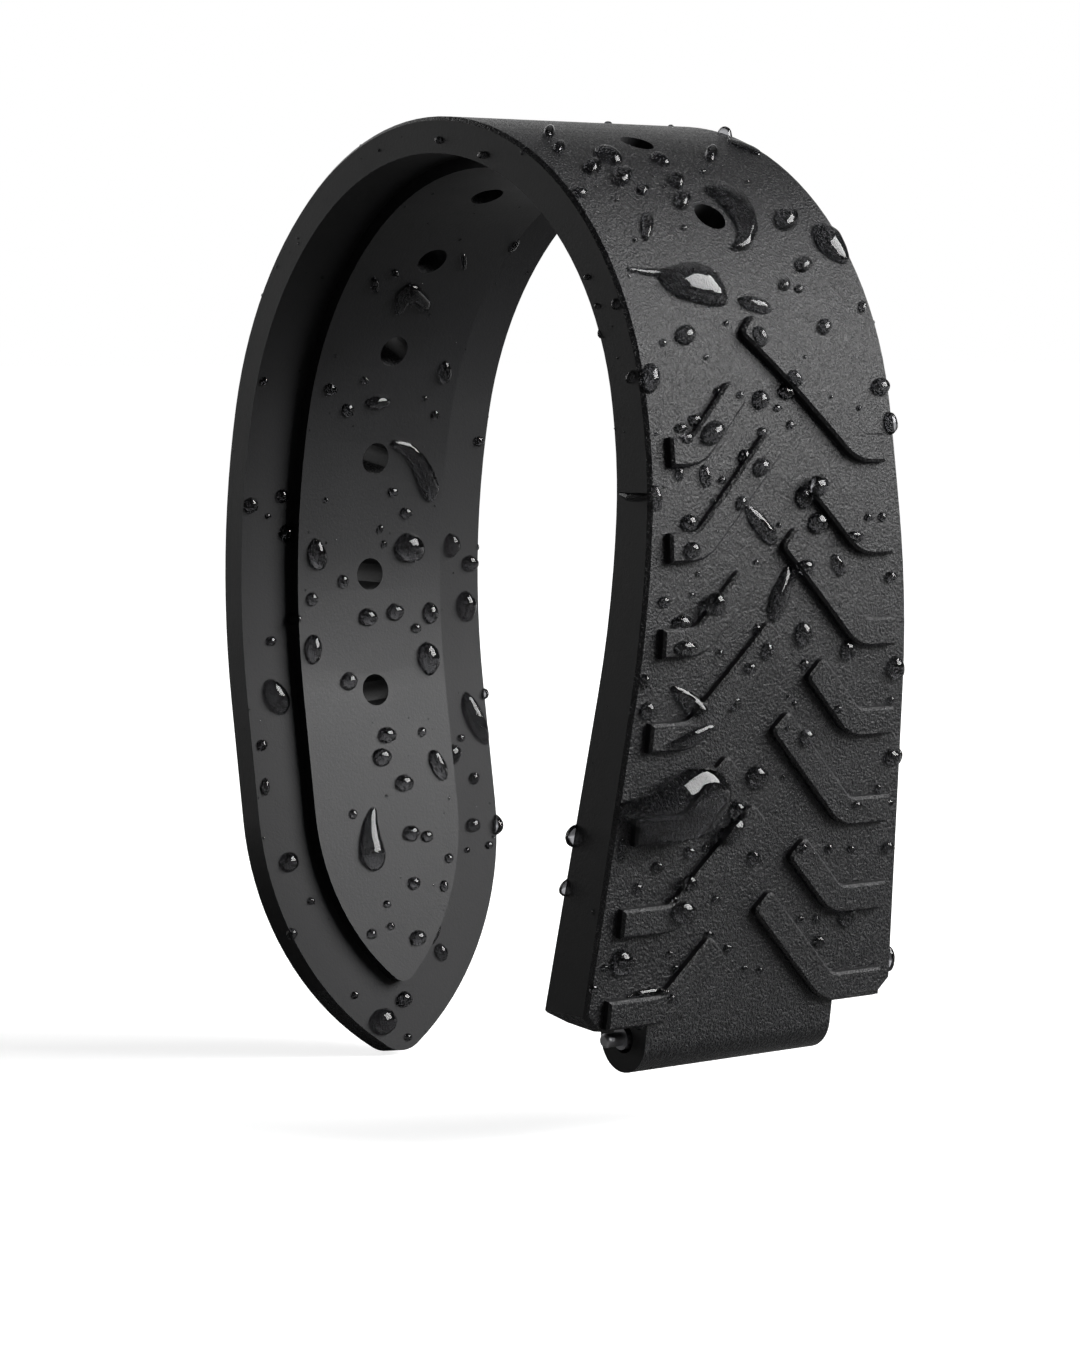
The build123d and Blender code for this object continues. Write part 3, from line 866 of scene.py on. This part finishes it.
def buildRoom(settings):
    world = bpy.data.worlds.new("whiteRoom")
    scene.world = world
    world.use_nodes = True
    tree = world.node_tree
    tree.nodes.clear()
    white = addNode(tree, "ShaderNodeBackground", (0, 0))
    white.inputs["Color"].default_value = (1.0, 1.0, 1.0, 1.0)
    output = addNode(tree, "ShaderNodeOutputWorld", (300, 0))
    level = addNode(tree, "ShaderNodeMapRange", (-300, 0))
    level.inputs["To Min"].default_value = settings["roomLevel"]
    level.inputs["To Max"].default_value = 1.0
    way = addNode(tree, "ShaderNodeTexCoord", (-1400, 0))
    behind = behindMask(tree, way.outputs["Generated"], settings["backdropDirection"],
                        settings["backdropEdge"], (-1200, 0))
    tree.links.new(seenWhite(tree, behind, (-1000, 300)), level.inputs["Value"])
    tree.links.new(level.outputs["Result"], white.inputs["Strength"])
    tree.links.new(white.outputs["Background"], output.inputs["Surface"])


def buildFloor(settings):
    plate = bmesh.new()
    bmesh.ops.create_grid(plate, x_segments=1, y_segments=1, size=settings["floorHalf"])
    mesh = bpy.data.meshes.new("floor")
    plate.to_mesh(mesh)
    plate.free()
    floor = bpy.data.objects.new("floor", mesh)
    scene.collection.objects.link(floor)
    material, tree, shader = newMaterial("paleFloor")
    place = addNode(tree, "ShaderNodeTexCoord", (-1400, 300))
    mottle = addNode(tree, "ShaderNodeTexNoise", (-600, 300))
    mottle.inputs["Scale"].default_value = settings["mottleScale"]
    tint = addNode(tree, "ShaderNodeMapRange", (-300, 300))
    tint.inputs["To Min"].default_value = settings["floorColour"] - settings["floorMottle"]
    tint.inputs["To Max"].default_value = settings["floorColour"] + settings["floorMottle"]
    path = addNode(tree, "ShaderNodeLightPath", (-600, 600))
    shade = addNode(tree, "ShaderNodeMix", (0, 300), data_type="FLOAT")
    shade.inputs["A"].default_value = settings["floorBounce"]
    tree.links.new(place.outputs["Object"], mottle.inputs["Vector"])
    tree.links.new(mottle.outputs["Fac"], tint.inputs["Value"])
    tree.links.new(tint.outputs["Result"], shade.inputs["B"])
    tree.links.new(path.outputs["Is Camera Ray"], shade.inputs["Factor"])
    tree.links.new(shade.outputs["Result"], shader.inputs["Base Color"])
    behind = behindMask(tree, place.outputs["Object"], settings["backdropDirection"],
                        settings["sweepStart"], (-1200, 0))
    away = addNode(tree, "ShaderNodeVectorMath", (-600, -450), operation="LENGTH")
    reach = addNode(tree, "ShaderNodeMapRange", (-300, -450))
    nearest, furthest = settings["liftReach"]
    reach.inputs["From Min"].default_value = nearest
    reach.inputs["From Max"].default_value = furthest
    leastLift, mostLift = settings["floorLift"]
    reach.inputs["To Min"].default_value = leastLift
    reach.inputs["To Max"].default_value = mostLift
    tree.links.new(place.outputs["Object"], away.inputs[0])
    tree.links.new(away.outputs["Value"], reach.inputs["Value"])
    lift = addNode(tree, "ShaderNodeMath", (0, -200), operation="MULTIPLY")
    tree.links.new(seenWhite(tree, behind, (-1000, -200)), lift.inputs[0])
    tree.links.new(reach.outputs["Result"], lift.inputs[1])
    tree.links.new(lift.outputs["Value"], shader.inputs["Emission Strength"])
    shader.inputs["Emission Color"].default_value = (1.0, 1.0, 1.0, 1.0)
    shader.inputs["Roughness"].default_value = settings["floorRoughness"]
    shader.inputs["Specular IOR Level"].default_value = 0.0
    mesh.materials.append(material)
    return floor


buildRoom(lightSettings)
buildFloor(lightSettings)
print("room and lights set")
